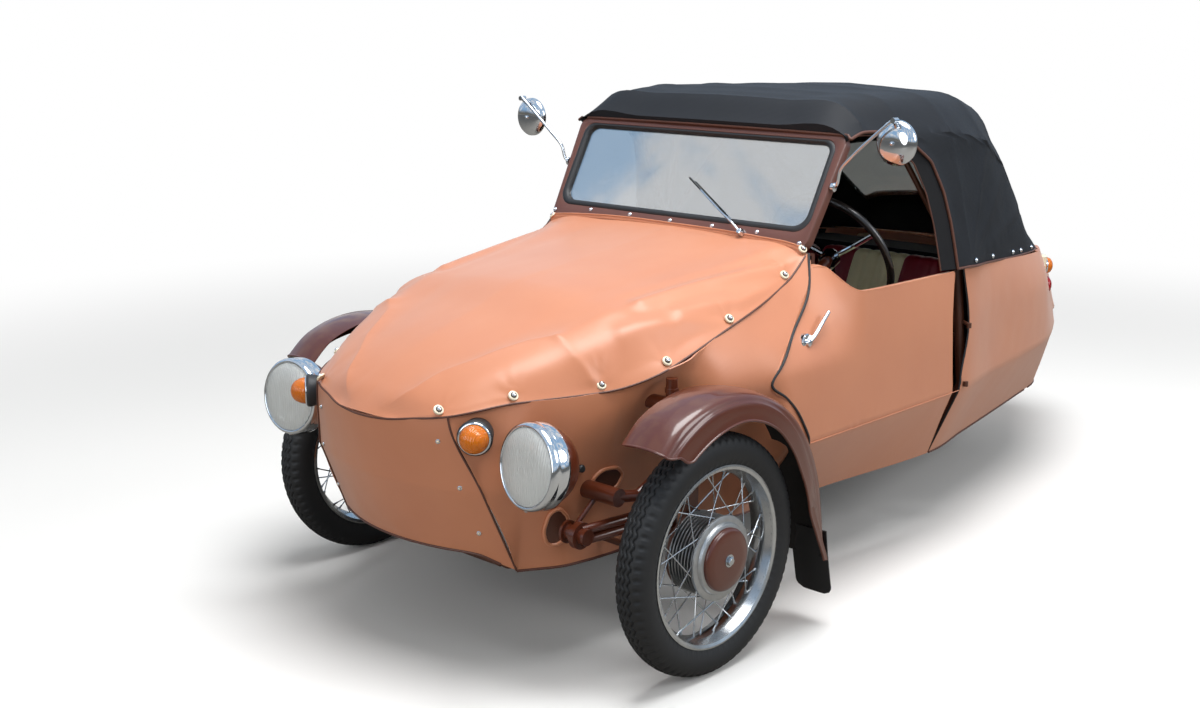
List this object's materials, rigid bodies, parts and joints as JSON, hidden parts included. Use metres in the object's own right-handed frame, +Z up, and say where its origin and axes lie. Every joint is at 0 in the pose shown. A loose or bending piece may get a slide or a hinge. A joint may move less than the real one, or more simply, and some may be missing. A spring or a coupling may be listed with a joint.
{
  "type": "three wheeled car",
  "caption": "Small three wheeled car with tan vinyl skins on a tube frame, a charcoal soft top, wire wheels and rear hinged doors.",
  "frame": {"origin": "on the ground under the middle of the overall length, on the centreline", "axes": "+X is the driver's side (the vehicle's left), -Y is forward, +Z is up"},
  "size_m": [1.414, 3.0962, 1.2908],
  "materials": {
    "skin_vinyl": "satin",
    "hood_fabric": "matte",
    "clear_sheet": "gloss",
    "brown_paint": "gloss",
    "window_glass": "gloss",
    "frame_paint": "satin",
    "floor_sheet": "satin",
    "engine_alloy": "matte",
    "chrome_trim": "polished",
    "lamp_glass": "gloss",
    "amber_plastic": "gloss",
    "red_plastic": "gloss",
    "seat_vinyl": "satin",
    "black_plastic": "gloss",
    "tyre_rubber": "matte",
    "rim_chrome": "polished",
    "hub_alloy": "satin"
  },
  "bodies": {
    "body": {"nose_panel": "skin_vinyl", "bonnet_cover": "skin_vinyl", "front_side_left": "skin_vinyl", "front_side_right": "skin_vinyl", "quarter_left": "skin_vinyl", "quarter_right": "skin_vinyl", "tail_panel": "skin_vinyl", "soft_top": "hood_fabric", "rear_pane": "clear_sheet", "windscreen_frame": "brown_paint", "windscreen_glass": "window_glass", "chassis_tubes": "frame_paint", "floor_pan": "floor_sheet", "engine_block": "engine_alloy", "swing_arm": "frame_paint", "rear_mudguard": "brown_paint", "dashboard": "brown_paint", "hood_bows": "frame_paint", "wiper": "chrome_trim", "front_arms": "brown_paint", "fenders": "brown_paint", "headlamp_shells": "brown_paint", "headlamp_lenses": "lamp_glass", "indicators": "amber_plastic", "mirrors": "chrome_trim", "tail_lamps": "red_plastic", "seat_cushions": "seat_vinyl", "seat_backs": "seat_vinyl"},
    "engine_lid": {"engine_lid": "skin_vinyl"},
    "door_left": {"door_left": "skin_vinyl", "door_handle_left": "chrome_trim"},
    "door_right": {"door_right": "skin_vinyl", "door_handle_right": "chrome_trim"},
    "steering_wheel": {"steering_wheel": "black_plastic"},
    "track_rod": {"track_rod": "frame_paint"},
    "knuckle_left": {"knuckle_left": "frame_paint"},
    "knuckle_right": {"knuckle_right": "frame_paint"},
    "wheel_left": {"tyre_left": "tyre_rubber", "rim_left": "rim_chrome", "hub_left": "hub_alloy"},
    "wheel_right": {"tyre_right": "tyre_rubber", "rim_right": "rim_chrome", "hub_right": "hub_alloy"},
    "wheel_rear": {"tyre_rear": "tyre_rubber", "rim_rear": "rim_chrome", "hub_rear": "hub_alloy"}
  },
  "joints": [
    {"name": "steering_wheel_turn", "type": "hinge", "parent": "body", "child": "steering_wheel", "pos_m": [0.3, -0.12, 0.83], "axis": [0, 0.9063, 0.4226], "range_deg": [-150, 150]},
    {"name": "steer_left", "type": "hinge", "parent": "body", "child": "knuckle_left", "pos_m": [0.505, -1.05, 0.38], "axis": [0, 0, 1], "range_deg": [-26, 26]},
    {"name": "steer_right", "type": "hinge", "parent": "body", "child": "knuckle_right", "pos_m": [-0.505, -1.05, 0.38], "axis": [0, 0, 1], "range_deg": [-26, 26]},
    {"name": "track_rod_slide", "type": "slide", "parent": "body", "child": "track_rod", "axis": [1, 0, 0], "range_m": [-0.048, 0.048]},
    {"name": "spin_left", "type": "hinge", "parent": "knuckle_left", "child": "wheel_left", "pos_m": [0.625, -1.05, 0.288], "axis": [1, 0, 0], "continuous": true},
    {"name": "spin_right", "type": "hinge", "parent": "knuckle_right", "child": "wheel_right", "pos_m": [-0.625, -1.05, 0.288], "axis": [1, 0, 0], "continuous": true},
    {"name": "spin_rear", "type": "hinge", "parent": "body", "child": "wheel_rear", "pos_m": [0, 0.9, 0.288], "axis": [1, 0, 0], "continuous": true},
    {"name": "door_left_swing", "type": "hinge", "parent": "body", "child": "door_left", "pos_m": [0.604, 0.126, 0.4], "axis": [0, 0, 1], "range_deg": [0, 65]},
    {"name": "door_right_swing", "type": "hinge", "parent": "body", "child": "door_right", "pos_m": [-0.604, 0.126, 0.4], "axis": [0, 0, -1], "range_deg": [0, 65]},
    {"name": "lid_lift", "type": "hinge", "parent": "body", "child": "engine_lid", "pos_m": [0, 0.9875, 0.737], "axis": [1, 0, 0], "range_deg": [0, 55]}
  ],
  "couplings": [
    {"joint": "steer_left", "follows": "steering_wheel_turn", "ratio": 0.16667},
    {"joint": "steer_right", "follows": "steering_wheel_turn", "ratio": 0.16667},
    {"joint": "track_rod_slide", "follows": "steering_wheel_turn", "m_per_rad": 0.017757}
  ]
}
